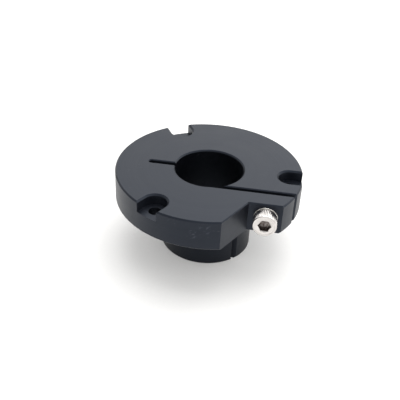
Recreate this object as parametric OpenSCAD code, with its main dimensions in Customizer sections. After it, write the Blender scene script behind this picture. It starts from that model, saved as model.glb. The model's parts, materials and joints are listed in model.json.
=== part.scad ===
// Flanged shaft collar, split on one side and clamped by a socket-head cap screw.
// Frame: origin at the centre of the hub's lower face, +Z along the bore towards the flange,
// +X along the clamping slit towards its open end, the clamp screw's head towards -Y.

/* [Flange] */
// Outside diameter of the flange
flange_d = 68; // [64:0.5:80]
// Thickness of the flange
flange_t = 11.3; // [10.5:0.1:13]
// Bevel on every turned edge
edge_c = 0.5; // [0.3:0.1:0.8]

/* [Hub] */
// Outside diameter of the hub
hub_d = 33.7; // [32:0.1:36]
// Length of the hub below the flange
hub_l = 20; // [12:0.5:30]
// Diameter of the bore that takes the shaft
bore_d = 25; // [24:0.5:26]

/* [Clamp slit] */
// Width of the clamping slit
slit_w = 1.7; // [1:0.1:2.2]
// Width of the relief slot opposite it
relief_w = 1.9; // [1:0.1:2.4]
// Distance from the bore axis to the slit's middle plane
slit_offset = 11.6; // [10.5:0.05:11.8]
// Distance from the bore axis to the bottom of the relief slot
relief_reach = 22.4; // [18:0.2:24]
// Bevel along the sawn and milled edges
break_c = 0.35; // [0.1:0.05:0.4]

/* [Screw notch] */
// Distance from the bore axis to the seat that the washer bears on
seat_offset = 19.2; // [18:0.1:20]
// Distance from the bore axis, along the slit, to the notch's inner corner
corner_x = 16.3; // [15:0.1:17]
// Angle of the notch's long wall, measured from the slit
notch_angle = 61; // [55:1:70]

/* [Mounting holes] */
// Number of mounting holes around the flange
hole_count = 3; // [2:1:4]
// Diameter of the circle that the mounting holes lie on
hole_circle_d = 58.8; // [57:0.1:60]
// Diameter of each through hole
hole_d = 4.5; // [4:0.1:5]
// Width of the counterbore, open at the rim
counterbore_d = 8.5; // [8:0.1:9.5]
// Depth of the counterbore
counterbore_depth = 4; // [3:0.1:5]
// Bevel round the mouth of the counterbore
counterbore_c = 0.6; // [0.1:0.05:0.8]

/* [Clamp screw] */
// Distance from the bore axis to the screw axis, along the slit
screw_x = 22.4; // [21.5:0.1:23]
// Distance from the flange's top face down to the screw axis
screw_below_top = 5.4; // [5:0.1:6]
// Thread diameter
screw_d = 5; // [4:1:5]
// Length of the shank under the head
screw_l = 16; // [12:1:16]
// Diameter of the head
head_d = 8.3; // [8:0.1:8.7]
// Height of the head
head_h = 4.8; // [4.6:0.1:5]
// Distance across the flats of the hexagonal socket
socket_af = 4; // [3:0.5:4.5]
// Depth of the socket
socket_depth = 2.5; // [2:0.1:3]
// Outside diameter of the washer
washer_d = 8.4; // [8.4:0.1:10]
// Thickness of the washer
washer_t = 0.5; // [0.5:0.1:1]
// Hole in the washer
washer_hole_d = 5.3; // [5.2:0.1:5.5]

/* [Hidden] */
$fn = 96;
overlap = 0.01;

flange_r = flange_d / 2;
hub_r = hub_d / 2;
bore_r = bore_d / 2;
collar_h = hub_l + flange_t;
screw_z = collar_h - screw_below_top;

// The screw runs through the lug with play and into a blind threaded hole beyond the slit
clearance_hole_d = screw_d + 0.5;
thread_hole_d = screw_d + 0.1;
tip_y = -seat_offset - washer_t + screw_l;
thread_end_y = tip_y + 0.4;
drill_point_l = 1.2;
tip_c = 0.6;
head_c = 0.4;

// Cuts a V-shaped groove along +X, its mouth in the plane z = 0 and as deep as half its width
module edge_groove(length, half_width) {
    rotate([90, 0, 90])
        linear_extrude(length)
            polygon([
                [-half_width - overlap, overlap],
                [0, -half_width],
                [half_width + overlap, overlap]
            ]);
}

// Cuts the matching bevel round the top of a hole, its base bevel deep below the mouth
module edge_cone(hole_r, bevel) {
    cylinder(r1 = hole_r, r2 = hole_r + bevel + overlap, h = bevel + overlap);
}

// Hub, flange and bore as one turned shape
module turned_blank() {
    rotate_extrude()
        polygon([
            [bore_r + edge_c, 0],
            [hub_r - edge_c, 0],
            [hub_r, edge_c],
            [hub_r, hub_l],
            [flange_r - edge_c, hub_l],
            [flange_r, hub_l + edge_c],
            [flange_r, collar_h - edge_c],
            [flange_r - edge_c, collar_h],
            [bore_r + edge_c, collar_h],
            [bore_r, collar_h - edge_c],
            [bore_r, edge_c]
        ]);
}

// A sawn slot along +X from the bore, through the whole height, with its top edges bevelled
module saw_cut(length, width) {
    translate([0, -width / 2, -overlap])
        cube([length, width, collar_h + 2 * overlap]);
    translate([0, 0, collar_h])
        edge_groove(length, width / 2 + break_c);
}

// Slit that the screw closes, its two edges at the rim bevelled as well
module clamp_slit() {
    mouth_angle = asin(slit_offset / flange_r);
    translate([0, -slit_offset, 0])
        saw_cut(flange_r, slit_w);
    rotate([0, 0, -mouth_angle])
        translate([flange_r, 0, hub_l - overlap])
            rotate([0, -90, 180])
                edge_groove(flange_t + 2 * overlap, slit_w / 2 / cos(mouth_angle) + break_c);
}

// Blind slot opposite the slit, with a round end, that lets the ring flex
module relief_slot() {
    end_x = relief_w / 2 - relief_reach;
    rotate([0, 0, 180])
        saw_cut(-end_x, relief_w);
    translate([end_x, 0, -overlap])
        cylinder(d = relief_w, h = collar_h + 2 * overlap);
    translate([end_x, 0, collar_h - break_c])
        edge_cone(relief_w / 2, break_c);
}

// Wedge cut from the rim: a flat seat for the washer and one long slanting wall
module screw_notch() {
    reach = flange_r + 1;
    translate([corner_x, -seat_offset, hub_l - overlap])
        linear_extrude(flange_t + 2 * overlap)
            polygon([
                [0, 0],
                [reach, 0],
                [reach, -reach],
                [-reach * cos(notch_angle), -reach * sin(notch_angle)]
            ]);
    translate([corner_x, -seat_offset, collar_h])
        edge_groove(reach, break_c);
    translate([corner_x, -seat_offset, collar_h])
        rotate([0, 0, 180 + notch_angle])
            edge_groove(reach, break_c);
}

// Counterbored hole along the local X axis, its counterbore run out through the rim
module mounting_hole() {
    floor_z = collar_h - counterbore_depth;
    counterbore_r = counterbore_d / 2;
    translate([hole_circle_d / 2, 0, hub_l - overlap])
        cylinder(d = hole_d, h = flange_t);
    translate([hole_circle_d / 2, 0, floor_z])
        cylinder(r = counterbore_r, h = flange_t);
    translate([hole_circle_d / 2, -counterbore_r, floor_z])
        cube([flange_r, counterbore_d, flange_t]);
    translate([hole_circle_d / 2, 0, collar_h - counterbore_c])
        edge_cone(counterbore_r, counterbore_c);
    for (side = [-1, 1])
        translate([hole_circle_d / 2, side * counterbore_r, collar_h])
            edge_groove(flange_r, counterbore_c);
}

// Clearance hole through the lug, then the threaded hole beyond the slit
module screw_hole() {
    translate([screw_x, -flange_r, screw_z])
        rotate([-90, 0, 0])
            cylinder(d = clearance_hole_d, h = flange_r - slit_offset);
    translate([screw_x, -slit_offset, screw_z])
        rotate([-90, 0, 0])
            cylinder(d = thread_hole_d, h = slit_offset + thread_end_y);
    translate([screw_x, thread_end_y - overlap, screw_z])
        rotate([-90, 0, 0])
            cylinder(d1 = thread_hole_d, d2 = 0.4, h = drill_point_l);
}

module collar_body() {
    color([0.2, 0.21, 0.23])
        difference() {
            turned_blank();
            clamp_slit();
            relief_slot();
            screw_notch();
            for (i = [0 : hole_count - 1])
                rotate([0, 0, i * 360 / hole_count])
                    mounting_hole();
            screw_hole();
        }
}

// Plain washer between the screw head and the seat
module washer() {
    color("silver")
        translate([screw_x, -seat_offset, screw_z])
            rotate([90, 0, 0])
                difference() {
                    cylinder(d = washer_d, h = washer_t);
                    translate([0, 0, -overlap])
                        cylinder(d = washer_hole_d, h = washer_t + 2 * overlap);
                }
}

// Socket-head cap screw, drawn from the bearing face of its head
module clamp_screw() {
    socket_r = socket_af / 2 / cos(30);
    color("gainsboro")
        translate([screw_x, -seat_offset - washer_t, screw_z])
            rotate([90, 0, 0])
                difference() {
                    union() {
                        cylinder(d = head_d, h = head_h - head_c);
                        translate([0, 0, head_h - head_c])
                            cylinder(d1 = head_d, d2 = head_d - 2 * head_c, h = head_c);
                        translate([0, 0, tip_c - screw_l])
                            cylinder(d = screw_d, h = screw_l);
                        translate([0, 0, -screw_l])
                            cylinder(d1 = screw_d - 2 * tip_c, d2 = screw_d, h = tip_c);
                    }
                    translate([0, 0, head_h - socket_depth])
                        cylinder(r = socket_r, h = socket_depth + overlap, $fn = 6);
                    translate([0, 0, head_h - socket_depth - 0.8])
                        cylinder(d1 = 0.4, d2 = socket_af, h = 0.8 + overlap);
                }
}

collar_body();
washer();
clamp_screw();
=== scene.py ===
"""Looks for a flanged clamping shaft collar: black anodised body, bright cap screw and washer."""
import json
import math

import bmesh
import bpy
from mathutils import Euler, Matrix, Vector


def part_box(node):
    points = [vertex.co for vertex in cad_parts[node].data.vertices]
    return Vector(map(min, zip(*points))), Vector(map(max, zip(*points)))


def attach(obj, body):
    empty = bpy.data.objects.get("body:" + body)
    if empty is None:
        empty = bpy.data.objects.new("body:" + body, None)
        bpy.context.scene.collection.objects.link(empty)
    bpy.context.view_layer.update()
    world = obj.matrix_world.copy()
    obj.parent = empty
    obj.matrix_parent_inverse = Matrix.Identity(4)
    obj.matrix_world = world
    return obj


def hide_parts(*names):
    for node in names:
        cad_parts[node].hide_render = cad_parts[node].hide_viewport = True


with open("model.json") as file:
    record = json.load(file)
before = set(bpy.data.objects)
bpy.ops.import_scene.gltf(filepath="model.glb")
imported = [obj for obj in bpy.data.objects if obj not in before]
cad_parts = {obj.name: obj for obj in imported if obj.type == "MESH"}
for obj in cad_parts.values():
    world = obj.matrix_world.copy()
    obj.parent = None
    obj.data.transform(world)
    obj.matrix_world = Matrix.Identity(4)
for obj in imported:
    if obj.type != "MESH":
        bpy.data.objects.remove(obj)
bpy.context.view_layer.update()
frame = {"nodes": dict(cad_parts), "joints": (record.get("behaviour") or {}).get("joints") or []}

MM = 0.001

# ---------------------------------------------------------------- places taken from the frame
JOINTS = {joint["name"]: joint for joint in frame["joints"]}
BEARING = Vector(JOINTS["screw_turn"]["pos_m"])   # centre of the face under the screw's head
SCREW_LOW, SCREW_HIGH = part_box("clamp_screw")
WASHER_LOW, WASHER_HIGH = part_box("washer")
BODY_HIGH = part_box("collar_body")[1]
FLANGE_R = BODY_HIGH.x
FLANGE_TOP = BODY_HIGH.z
HUB_L = 20 * MM                # the hub's length below the flange
BORE_R = 12.5 * MM


# ---------------------------------------------------------------- mesh helpers
def ring(radius_at, along, count, centre):
    """One ring of points about the screw axis; along is measured from centre towards the head."""
    points = []
    for i in range(count):
        turn = 2 * math.pi * i / count
        r = radius_at(turn)
        points.append((centre.x + r * math.cos(turn), centre.y - along, centre.z + r * math.sin(turn)))
    return points


def mesh_piece(name, rings, looped, crease_angle):
    """Joins rings of equal length into one closed mesh, capped at both ends unless it is looped."""
    bm = bmesh.new()
    rows = [[bm.verts.new(point) for point in points] for points in rings]
    pairs = list(zip(rows, rows[1:]))
    if looped:
        pairs.append((rows[-1], rows[0]))
    for lower, upper in pairs:
        for i in range(len(lower)):
            j = (i + 1) % len(lower)
            bm.faces.new((lower[i], lower[j], upper[j], upper[i]))
    if not looped:
        for row in (rows[0], rows[-1]):
            middle = bm.verts.new(sum((v.co for v in row), Vector()) / len(row))
            for i in range(len(row)):
                bm.faces.new((row[i], row[(i + 1) % len(row)], middle))
    bmesh.ops.recalc_face_normals(bm, faces=bm.faces)
    for face in bm.faces:
        face.smooth = True
    for edge in bm.edges:
        edge.smooth = edge.calc_face_angle(0) < crease_angle
    mesh = bpy.data.meshes.new(name)
    bm.to_mesh(mesh)
    bm.free()
    piece = bpy.data.objects.new(name, mesh)
    bpy.context.scene.collection.objects.link(piece)
    return piece


def arc(centre_r, centre_s, radius, start_deg, end_deg, steps):
    """Points (r, s) on an arc in the half-plane of a turned profile, s along the axis."""
    points = []
    for k in range(steps + 1):
        a = math.radians(start_deg + (end_deg - start_deg) * k / steps)
        points.append((centre_r + radius * math.cos(a), centre_s + radius * math.sin(a)))
    return points


# ---------------------------------------------------------------- clamp screw
SHANK_R = 2.48 * MM
PITCH = 0.8 * MM
THREAD_DEPTH = 0.525 * MM
THREAD_CREST = 0.12            # flat share of the thread's crest
THREAD_FLANK = 0.68            # share of a half turn over which the flank falls to the core
THREAD_FADE = 1.5 * PITCH      # run over which the thread dies out towards the head
PLAIN_NECK = 1.2 * MM          # unthreaded run under the head
NECK_ROUND = 0.25 * MM         # fillet where the shank meets the head
TIP_CHAMFER = 0.6 * MM
ROWS_A_TURN = 8
TEETH = 48                     # straight knurl round the head
AROUND = TEETH * 4
KNURL_DEPTH = 0.11 * MM
KNURL_START = 0.45 * MM        # height at which the knurl begins
KNURL_GAP = 0.25 * MM          # from the end of the full knurl to the rounded edge
# The head's foot: (how far inside the head's side, height above the bearing face)
HEAD_FOOT = ((0.35 * MM, 0), (0.12 * MM, 0.08 * MM), (KNURL_DEPTH, 0.3 * MM))
EDGE_ROUND = 0.42 * MM
EDGE_INSET = 0.02 * MM         # the rounded edge stays this far inside the knurl's crests
FACE_DISH = 0.07 * MM          # the end face is sunk this much inside its rim
# The rim of the end face: (how far inside the head's side, how far sunk)
FACE_RIM = ((0.72 * MM, 0), (0.82 * MM, FACE_DISH))
SOCKET_AF = 4 * MM
SOCKET_DEPTH = 2.5 * MM
SOCKET_CHAMFER = 0.15 * MM
MOUTH_PLAY = 0.02 * MM         # the socket's round mouth clears the hexagon's corners
MOUTH_BREAK_R = 0.1 * MM       # width and depth of the bevel round the mouth
MOUTH_BREAK = 0.04 * MM
DRILL_INSET = 0.12 * MM        # the drilled cone below the hexagon: inset, step and point
DRILL_STEP = 0.02 * MM
DRILL_TIP_R = 0.3 * MM
DRILL_POINT = 0.75 * MM
SCREW_CREASE = math.radians(32)


def round_at(radius):
    return lambda turn: radius


def knurl_at(radius, depth):
    """Radius of a straight-knurled surface: sharp valleys between flat-topped teeth."""
    def at(turn):
        phase = (turn * TEETH / (2 * math.pi)) % 1
        return radius - depth * max(0, 1 - 4 * min(phase, 1 - phase))
    return at


def hexagon_at(half_flats):
    """Radius of a hexagon whose corners lie at multiples of 60 degrees."""
    def at(turn):
        off = (turn % math.radians(60)) - math.radians(30)
        return half_flats / math.cos(off)
    return at


def thread_at(along, core_r, crest_r):
    """Radius of a right-hand 60 degree thread at one station along the shank."""
    def at(turn):
        phase = (along / PITCH - turn / (2 * math.pi)) % 1
        ramp = min(1, max(0, (abs(phase - 0.5) * 2 - THREAD_CREST) / THREAD_FLANK))
        return crest_r + (core_r - crest_r) * ramp
    return at


def shank_rings(length):
    """From the tip to the underside of the head, with a bevelled tip and a fading thread."""
    rings = []
    start = -length
    stop = -PLAIN_NECK
    rows = round((stop - start) / PITCH * ROWS_A_TURN)
    for k in range(rows + 1):
        along = start + (stop - start) * k / rows
        limit = min(SHANK_R, SHANK_R - TIP_CHAMFER + (along - start))
        fade = min(1, (stop - along) / THREAD_FADE)
        thread = thread_at(along, SHANK_R - THREAD_DEPTH * fade, SHANK_R)
        rings.append(ring(lambda turn, t=thread, m=limit: min(t(turn), m), along, AROUND, BEARING))
    return rings


def socket_steps(head_h):
    """The hexagon socket, from its bevelled mouth down to the drill's point."""
    face = head_h - FACE_DISH
    floor = head_h - SOCKET_DEPTH
    flats = SOCKET_AF / 2
    mouth_r = flats / math.cos(math.radians(30)) + MOUTH_PLAY
    return [
        (round_at(mouth_r + MOUTH_BREAK_R), face),
        (round_at(mouth_r), face - MOUTH_BREAK),
        (hexagon_at(flats), face - MOUTH_BREAK - SOCKET_CHAMFER),
        (hexagon_at(flats), floor),
        (round_at(flats - DRILL_INSET), floor - DRILL_STEP),
        (round_at(DRILL_TIP_R), floor - DRILL_POINT),
    ]


def head_rings(head_r, head_h):
    """From the neck, out round the head and down into the hexagon socket."""
    steps = []
    for r, s in arc(SHANK_R + NECK_ROUND, -NECK_ROUND, NECK_ROUND, 180, 90, 4):
        steps.append((round_at(r), s))
    for inset, height in HEAD_FOOT:
        steps.append((round_at(head_r - inset), height))
    steps.append((knurl_at(head_r, KNURL_DEPTH), KNURL_START))
    steps.append((knurl_at(head_r, KNURL_DEPTH), head_h - EDGE_ROUND - KNURL_GAP))
    top = arc(head_r - EDGE_ROUND - EDGE_INSET, head_h - EDGE_ROUND, EDGE_ROUND, 0, 90, 6)
    for k, (r, s) in enumerate(top):
        depth = KNURL_DEPTH * max(0, 1 - k / 2)
        steps.append((knurl_at(r, depth), s))
    for inset, sunk in FACE_RIM:
        steps.append((round_at(head_r - inset), head_h - sunk))
    steps += socket_steps(head_h)
    return [ring(radius_at, s, AROUND, BEARING) for radius_at, s in steps]


def make_screw():
    head_r = (SCREW_HIGH.x - SCREW_LOW.x) / 2
    head_h = BEARING.y - SCREW_LOW.y
    length = SCREW_HIGH.y - BEARING.y
    rings = shank_rings(length) + head_rings(head_r, head_h)
    screw = mesh_piece("cap_screw", rings, False, SCREW_CREASE)
    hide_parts("clamp_screw")
    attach(screw, "screw")
    return screw


# ---------------------------------------------------------------- washer
WASHER_HOLE_R = 2.65 * MM
WASHER_ROUND = 0.14 * MM       # rolled-over edge from stamping
WASHER_BREAK = 0.04 * MM       # the outer edge against the seat
HOLE_ROUND = 0.1 * MM
HOLE_BREAK = 0.05 * MM         # the hole's edge against the seat
WASHER_AROUND = 128
WASHER_CREASE = math.radians(35)


def make_washer():
    """Stamped washer: rounded on its outer face, crisp on the face against the seat."""
    outer = (WASHER_HIGH.x - WASHER_LOW.x) / 2
    thick = WASHER_HIGH.y - WASHER_LOW.y
    centre = Vector((BEARING.x, WASHER_HIGH.y, BEARING.z))
    profile = [(WASHER_HOLE_R + HOLE_BREAK, 0), (outer - WASHER_BREAK, 0), (outer, WASHER_BREAK)]
    profile += arc(outer - WASHER_ROUND, thick - WASHER_ROUND, WASHER_ROUND, 0, 90, 5)
    profile += arc(WASHER_HOLE_R + HOLE_ROUND, thick - HOLE_ROUND, HOLE_ROUND, 90, 180, 4)
    profile.append((WASHER_HOLE_R, HOLE_BREAK))
    rings = [ring(round_at(r), s, WASHER_AROUND, centre) for r, s in profile]
    washer = mesh_piece("plain_washer", rings, True, WASHER_CREASE)
    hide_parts("washer")
    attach(washer, "washer")
    return washer


# ---------------------------------------------------------------- material helpers
class Graph:
    """Adds nodes to one material and wires them."""

    def __init__(self, name):
        self.material = bpy.data.materials.new(name)
        self.material.use_nodes = True
        self.tree = self.material.node_tree
        self.shader = self.tree.nodes["Principled BSDF"]

    def node(self, kind, settings=None, inputs=None):
        made = self.tree.nodes.new(kind)
        for key, value in (settings or {}).items():
            setattr(made, key, value)
        for key, value in (inputs or {}).items():
            self.feed(made.inputs[key], value)
        return made

    def feed(self, socket, value):
        if isinstance(value, bpy.types.NodeSocket):
            self.tree.links.new(value, socket)
        else:
            socket.default_value = value

    def maths(self, operation, *values):
        made = self.node("ShaderNodeMath", {"operation": operation})
        for socket, value in zip(made.inputs, values):
            self.feed(socket, value)
        return made.outputs[0]

    def place(self):
        return self.node("ShaderNodeTexCoord").outputs["Object"]

    def split(self, vector):
        return self.node("ShaderNodeSeparateXYZ", None, {"Vector": vector}).outputs

    def length(self, first, second):
        squares = (self.maths("MULTIPLY", first, first), self.maths("MULTIPLY", second, second))
        return self.maths("SQRT", self.maths("ADD", *squares))

    def turned(self, radius, along):
        """A vector that is the same all round the axis, so that noise on it makes rings."""
        return self.node("ShaderNodeCombineXYZ", None, {"X": radius, "Y": along}).outputs["Vector"]

    def mapped(self, vector, settings, rotation, scale):
        inputs = {"Vector": vector, "Rotation": rotation, "Scale": scale}
        return self.node("ShaderNodeMapping", settings, inputs).outputs["Vector"]

    def noise(self, vector, scale, detail=2.0, roughness=0.5):
        inputs = {"Vector": vector, "Scale": scale, "Detail": detail, "Roughness": roughness}
        return self.node("ShaderNodeTexNoise", None, inputs).outputs["Fac"]

    def spread(self, value, low, high, to_low, to_high):
        inputs = {"Value": value, "From Min": low, "From Max": high, "To Min": to_low, "To Max": to_high}
        return self.node("ShaderNodeMapRange", None, inputs).outputs["Result"]

    def blend(self, factor, first, second):
        """Mixes two colours; a Mix node keeps its colour sockets at these positions."""
        made = self.node("ShaderNodeMix", {"data_type": "RGBA"}, {"Factor": factor})
        self.feed(made.inputs[6], first)
        self.feed(made.inputs[7], second)
        return made.outputs[2]

    def bump(self, height, strength, distance, normal=None):
        inputs = {"Height": height, "Strength": strength, "Distance": distance}
        if normal is not None:
            inputs["Normal"] = normal
        return self.node("ShaderNodeBump", None, inputs).outputs["Normal"]

    def near(self, place, point, reach):
        """1 about a point, fading to 0 at reach from it."""
        away = self.node("ShaderNodeVectorMath", {"operation": "DISTANCE"})
        self.feed(away.inputs[0], place)
        self.feed(away.inputs[1], point)
        return self.spread(away.outputs["Value"], 0.4 * reach, reach, 1.0, 0.0)

    def edges(self, radius, sharpness):
        """A softened normal, and a mask that is 1 on the edges and 0 on open faces."""
        soft = self.node("ShaderNodeBevel", {"samples": 6}, {"Radius": radius}).outputs["Normal"]
        flat = self.node("ShaderNodeNewGeometry").outputs["Normal"]
        dot = self.node("ShaderNodeVectorMath", {"operation": "DOT_PRODUCT"})
        self.feed(dot.inputs[0], soft)
        self.feed(dot.inputs[1], flat)
        return soft, self.spread(dot.outputs["Value"], 1.0, 1.0 - sharpness, 0.0, 1.0)


BUMP_HEIGHT = 0.02 * MM        # how deep the turning marks and the grain can be
NOISE_SPAN = (0.3, 0.7)        # nearly all of a noise texture's values lie between these


# ---------------------------------------------------------------- black anodised aluminium
DYE_DEEP = (0.0050, 0.0060, 0.0090, 1)
DYE_PALE = (0.0085, 0.0095, 0.0130, 1)
# painted shade: the near-black colour laid on the hub under the flange and inside the bore
PAINTED_SHADE_DARK = (0.0008, 0.0009, 0.0016, 1)
RUBBED = (0.075, 0.078, 0.085, 1)
SCUFFED = (0.085, 0.087, 0.095, 1)
KNOCKED = (0.068, 0.074, 0.092, 1)
ANODISED_IOR = 1.46
ANODISED_TINT = (0.52, 0.61, 0.78, 1.0)
ANODISED_ROUGH = (0.34, 0.42)
GROOVE_ROUGH = 0.03            # grooves vary it by this much
WALL_ROUGH = 0.05              # upright faces are this much rougher
GROOVE_SCALE = 5200.0          # noise scales are in features a metre
BAND_SCALE = 420.0
CLOUD_SCALE = 95.0
GRAIN_SCALE = 9000.0
RUB_SCALE = 380.0
SCRATCH_SCALE = 2100.0
HANDLED_SCALE = 70.0
KNOCK_SCALE = 1500.0
KNOCK_STRETCH = 2.6
GROOVE_BUMP = 0.18
GRAIN_BUMP = 0.10
EDGE_SOFT = 0.08 * MM
EDGE_SHARPNESS = 0.25
# Knocks on the front of the rim: (angle in degrees, height below the flange's top, reach)
KNOCKS = ((-90, 5.0 * MM, 3.0 * MM), (-84, 3.0 * MM, 2.8 * MM), (-102, 1.4 * MM, 2.4 * MM))
KNOCK_TILT = math.radians(-35)  # the knocks' marks climb to the right


def knock_marks(g, place):
    """Short slanting marks, only about the knocked places."""
    slant = g.mapped(place, {"vector_type": "TEXTURE"}, (0, KNOCK_TILT, 0), (KNOCK_STRETCH, 1.0, 1.0))
    marks = g.spread(g.noise(slant, KNOCK_SCALE), 0.54, 0.68, 0.0, 0.4)
    knocked = 0.0
    for angle, drop, reach in KNOCKS:
        turn = math.radians(angle)
        point = (FLANGE_R * math.cos(turn), FLANGE_R * math.sin(turn), FLANGE_TOP - drop)
        knocked = g.maths("ADD", knocked, g.near(place, point, reach))
    return g.maths("MULTIPLY", marks, g.maths("MINIMUM", knocked, 1.0))


def scuff_marks(g, place):
    """Long fine scratches, in the patches where the part has been handled."""
    streaks = g.mapped(place, None, (0.5, 0.75, 0.2), (0.16, 1.0, 1.0))
    scratch = g.spread(g.noise(streaks, SCRATCH_SCALE), 0.68, 0.76, 0.0, 1.0)
    handled = g.spread(g.noise(place, HANDLED_SCALE), 0.54, 0.68, 0.0, 0.5)
    return g.maths("MULTIPLY", scratch, handled)


def painted_hub_bore_shade(g, radius, height):
    """Mask for painted shade on the hub under the flange and inside the bore."""
    hub = g.spread(height, HUB_L - 0.3 * MM, HUB_L + 0.3 * MM, 0.85, 0.0)
    bore = g.spread(radius, BORE_R, BORE_R + 0.3 * MM, 0.95, 0.0)
    return g.maths("MAXIMUM", hub, bore)


def anodised_rough(g, cloud, grooves):
    """Cloudy on the open faces, varied by the turning marks, and rougher on the walls."""
    up = g.split(g.node("ShaderNodeNewGeometry").outputs["Normal"])["Z"]
    wall = g.spread(g.maths("ABSOLUTE", up), 0.3, 0.9, WALL_ROUGH, 0.0)
    open_face = g.spread(cloud, *NOISE_SPAN, *ANODISED_ROUGH)
    grooved = g.maths("ADD", open_face, g.spread(grooves, *NOISE_SPAN, -GROOVE_ROUGH, GROOVE_ROUGH))
    return g.maths("ADD", grooved, wall)


def anodised_material():
    """Black anodised aluminium, finely turned, with rubbed edges, faint handling marks and painted shade
    on the hub and in the bore.
    """
    g = Graph("black_anodised")
    place = g.place()
    x, y, z = g.split(place)
    radius = g.length(x, y)
    turned = g.turned(radius, z)
    grooves = g.noise(turned, GROOVE_SCALE, 2.0, 0.6)
    cloud = g.noise(place, CLOUD_SCALE, 4.0, 0.55)
    soft, edge = g.edges(EDGE_SOFT, EDGE_SHARPNESS)
    patches = g.spread(g.noise(place, RUB_SCALE, 4.0, 0.6), 0.40, 0.72, 0.0, 0.55)
    rub = g.maths("MULTIPLY", edge, patches)
    tone = g.spread(g.maths("ADD", cloud, g.noise(turned, BAND_SCALE)), 0.7, 1.3, 0.0, 1.0)
    base = g.blend(tone, DYE_DEEP, DYE_PALE)
    # painted shade: the hub and the bore are darkened towards near-black
    base = g.blend(painted_hub_bore_shade(g, radius, z), base, PAINTED_SHADE_DARK)
    base = g.blend(scuff_marks(g, place), base, SCUFFED)
    base = g.blend(knock_marks(g, place), base, KNOCKED)
    base = g.blend(rub, base, RUBBED)
    grain = g.noise(place, GRAIN_SCALE, 3.0, 0.6)
    normal = g.bump(grain, GRAIN_BUMP, BUMP_HEIGHT, soft)
    normal = g.bump(grooves, GROOVE_BUMP, BUMP_HEIGHT, normal)
    g.feed(g.shader.inputs["Base Color"], base)
    g.feed(g.shader.inputs["Roughness"], anodised_rough(g, cloud, grooves))
    g.feed(g.shader.inputs["Normal"], normal)
    g.shader.inputs["IOR"].default_value = ANODISED_IOR
    g.shader.inputs["Specular Tint"].default_value = ANODISED_TINT
    return g.material


# ---------------------------------------------------------------- bright steel
SCREW_COLOUR = (0.67, 0.64, 0.62)
SCREW_ROUGH = (0.18, 0.28)
WASHER_COLOUR = (0.70, 0.69, 0.66)
WASHER_ROUGH = (0.16, 0.28)
STAINED = 0.86                 # how much of its brightness stained steel keeps
# painted shade: the dark colour laid inside the screw's socket
SOCKET_SHADE_COLOUR = (0.10, 0.075, 0.065, 1)
SOCKET_EXTRA_ROUGH = 0.12              # the socket is this much rougher than the outside
RING_SCALE = 4200.0
STAIN_SCALE = 520.0
MOTTLE_SCALE = 1500.0
STEEL_GRAIN_SCALE = 7000.0
RING_BUMP = 0.2
STEEL_GRAIN_BUMP = 0.08
SOCKET_SPACE_R = 2.38 * MM     # everything inside this radius of the head is in the socket
SOCKET_SHADE_START = 0.15 * MM       # the painted shade starts this far in from the head's end
SOCKET_SHADE_RAMP = 0.5 * MM      # and deepens to full over this much more
SOCKET_SPAN = 3.3 * MM         # the painted shade reaches this far in


def socket_painted_shade(g, radius, along, place):
    """Painted shade inside the socket, mottled and deepening inwards; along grows from the head's end
    into the head.
    """
    front = SCREW_LOW.y - BEARING.y + SOCKET_SHADE_START
    depth = g.spread(along, front, front + SOCKET_SHADE_RAMP, 0.0, 1.0)
    head = g.maths("LESS_THAN", along, front + SOCKET_SPAN)
    in_reach = g.maths("MULTIPLY", depth, head)
    inside = g.maths("MULTIPLY", g.maths("LESS_THAN", radius, SOCKET_SPACE_R), in_reach)
    mottle = g.spread(g.noise(place, MOTTLE_SCALE, 2.0, 0.6), 0.38, 0.62, 0.55, 0.98)
    return inside, g.maths("MULTIPLY", inside, mottle)


def bright_steel(name, colour, rough_range, has_socket):
    """Bright plated steel, turned about the screw's axis and faintly stained."""
    g = Graph(name)
    place = g.place()
    away = g.node("ShaderNodeVectorMath", {"operation": "SUBTRACT"})
    g.feed(away.inputs[0], place)
    g.feed(away.inputs[1], BEARING)
    x, y, z = g.split(away.outputs["Vector"])
    radius = g.length(x, z)
    rings = g.noise(g.turned(radius, y), RING_SCALE, 2.0, 0.6)
    stain = g.noise(place, STAIN_SCALE, 4.0, 0.6)
    dull = tuple(STAINED * c for c in colour)
    tint = g.blend(g.spread(stain, 0.35, 0.7, 0.0, 1.0), (*colour, 1), (*dull, 1))
    rough = g.spread(stain, *NOISE_SPAN, *rough_range)
    if has_socket:
        # painted shade: the socket's colour darkens inwards from its mouth
        inside, socket_shade = socket_painted_shade(g, radius, y, place)
        tint = g.blend(socket_shade, tint, SOCKET_SHADE_COLOUR)
        rough = g.maths("ADD", rough, g.maths("MULTIPLY", inside, SOCKET_EXTRA_ROUGH))
    normal = g.bump(rings, RING_BUMP, BUMP_HEIGHT)
    grain = g.noise(place, STEEL_GRAIN_SCALE, 3.0, 0.6)
    normal = g.bump(grain, STEEL_GRAIN_BUMP, BUMP_HEIGHT, normal)
    g.feed(g.shader.inputs["Base Color"], tint)
    g.feed(g.shader.inputs["Roughness"], rough)
    g.feed(g.shader.inputs["Normal"], normal)
    g.shader.inputs["Metallic"].default_value = 1.0
    return g.material


# ---------------------------------------------------------------- floor
FLOOR_R = 3.0
FLOOR_SIDES = 96
FIBRE_SCALE = 900.0
FLOOR_DARK = (0.70, 0.695, 0.685, 1)
FLOOR_LIGHT = (0.72, 0.715, 0.705, 1)
FLOOR_ROUGH = 0.9
GLOW_COLOUR = (1.0, 0.995, 0.98, 1)
FLOOR_GLOW = 0.22              # the table is a little translucent and lit from beneath


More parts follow.
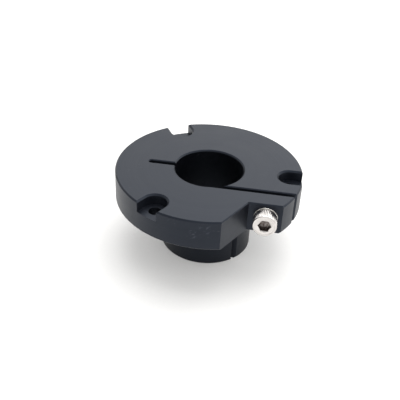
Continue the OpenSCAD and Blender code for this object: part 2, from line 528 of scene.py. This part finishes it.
def floor_material():
    """Pale matt paper sweep."""
    g = Graph("pale_floor")
    fibre = g.noise(g.place(), FIBRE_SCALE, 3.0, 0.6)
    tone = g.blend(g.spread(fibre, *NOISE_SPAN, 0.0, 1.0), FLOOR_DARK, FLOOR_LIGHT)
    g.feed(g.shader.inputs["Base Color"], tone)
    g.shader.inputs["Roughness"].default_value = FLOOR_ROUGH
    g.shader.inputs["Emission Color"].default_value = GLOW_COLOUR
    g.shader.inputs["Emission Strength"].default_value = FLOOR_GLOW
    return g.material


def dress(piece, material):
    piece.data.materials.clear()
    piece.data.materials.append(material)


def make_floor(material):
    bm = bmesh.new()
    bmesh.ops.create_circle(bm, cap_ends=True, segments=FLOOR_SIDES, radius=FLOOR_R)
    mesh = bpy.data.meshes.new("floor")
    bm.to_mesh(mesh)
    bm.free()
    floor = bpy.data.objects.new("floor", mesh)
    bpy.context.scene.collection.objects.link(floor)
    dress(floor, material)


# ---------------------------------------------------------------- camera
VIEW_AZIMUTH = -7.30           # the way the camera looks, turned from +Y towards -X
VIEW_ELEVATION = 34.19         # degrees above the horizon
VIEW_ROLL = 2.95
VIEW_LENS = 60.43
SENSOR_WIDTH = 36
CLIP_START = 0.01
CAMERA_AT = Vector((23.67 * MM, -206.87 * MM, 158.33 * MM))


def make_camera():
    data = bpy.data.cameras.new("camera")
    data.lens = VIEW_LENS
    data.sensor_width = SENSOR_WIDTH
    data.clip_start = CLIP_START
    camera = bpy.data.objects.new("camera", data)
    level = Euler((math.radians(90 - VIEW_ELEVATION), 0, math.radians(-VIEW_AZIMUTH)), "XYZ")
    roll = Euler((0, 0, math.radians(VIEW_ROLL)), "XYZ")
    camera.rotation_euler = (level.to_matrix() @ roll.to_matrix()).to_euler()
    camera.location = CAMERA_AT
    bpy.context.scene.collection.objects.link(camera)
    bpy.context.scene.camera = camera


# ---------------------------------------------------------------- light
# How bright the surroundings are by direction: along each axis (from, to, level there, level there)
STUDIO_LEVELS = {
    "X": (-0.55, 0.45, 0.72, 1.28),
    "Y": (-0.55, 0.75, 0.85, 1.80),
    "Z": (0.0, 0.36, 0.22, 1.0),
}
SOFTBOX_AT = (0.0, 0.25, 0.9)
SOFTBOX_SIZE = 0.8
SOFTBOX_POWER = 4.5


def soft_light(name, place, size, power):
    """A square softbox aimed at the middle of the object."""
    data = bpy.data.lights.new(name, "AREA")
    data.size = size
    data.energy = power
    light = bpy.data.objects.new(name, data)
    light.location = place
    aim = Vector((0, 0, FLANGE_TOP / 2)) - Vector(place)
    light.rotation_euler = aim.to_track_quat("-Z", "Y").to_euler()
    bpy.context.scene.collection.objects.link(light)


def world_maths(tree, operation, first, second):
    made = tree.nodes.new("ShaderNodeMath")
    made.operation = operation
    tree.links.new(first, made.inputs[0])
    tree.links.new(second, made.inputs[1])
    return made.outputs["Value"]


def axis_level(tree, along, start, stop, low, high):
    """Brightness that rises smoothly from low at start to high at stop."""
    level = tree.nodes.new("ShaderNodeMapRange")
    level.interpolation_type = "SMOOTHSTEP"
    for name, value in zip(("From Min", "From Max", "To Min", "To Max"), (start, stop, low, high)):
        level.inputs[name].default_value = value
    tree.links.new(along, level.inputs["Value"])
    return level.outputs["Result"]


def make_world():
    """A studio brightest behind and to the right and dim along the horizon, white where it is seen."""
    world = bpy.data.worlds.new("studio")
    world.use_nodes = True
    tree = world.node_tree
    place = tree.nodes.new("ShaderNodeTexCoord")
    axes = tree.nodes.new("ShaderNodeSeparateXYZ")
    tree.links.new(place.outputs["Generated"], axes.inputs["Vector"])
    levels = [axis_level(tree, axes.outputs[axis], *span) for axis, span in STUDIO_LEVELS.items()]
    strength = levels[0]
    for level in levels[1:]:
        strength = world_maths(tree, "MULTIPLY", strength, level)
    seen = tree.nodes.new("ShaderNodeLightPath").outputs["Is Camera Ray"]
    background = tree.nodes["Background"]
    tree.links.new(world_maths(tree, "MAXIMUM", seen, strength), background.inputs["Strength"])
    background.inputs["Color"].default_value = (1, 1, 1, 1)
    bpy.context.scene.world = world


# ---------------------------------------------------------------- the scene
dress(frame["nodes"]["collar_body"], anodised_material())
dress(make_screw(), bright_steel("bright_screw", SCREW_COLOUR, SCREW_ROUGH, True))
dress(make_washer(), bright_steel("bright_washer", WASHER_COLOUR, WASHER_ROUGH, False))
make_floor(floor_material())
make_camera()
make_world()
soft_light("overhead_softbox", SOFTBOX_AT, SOFTBOX_SIZE, SOFTBOX_POWER)
bpy.context.scene.view_settings.view_transform = "Standard"
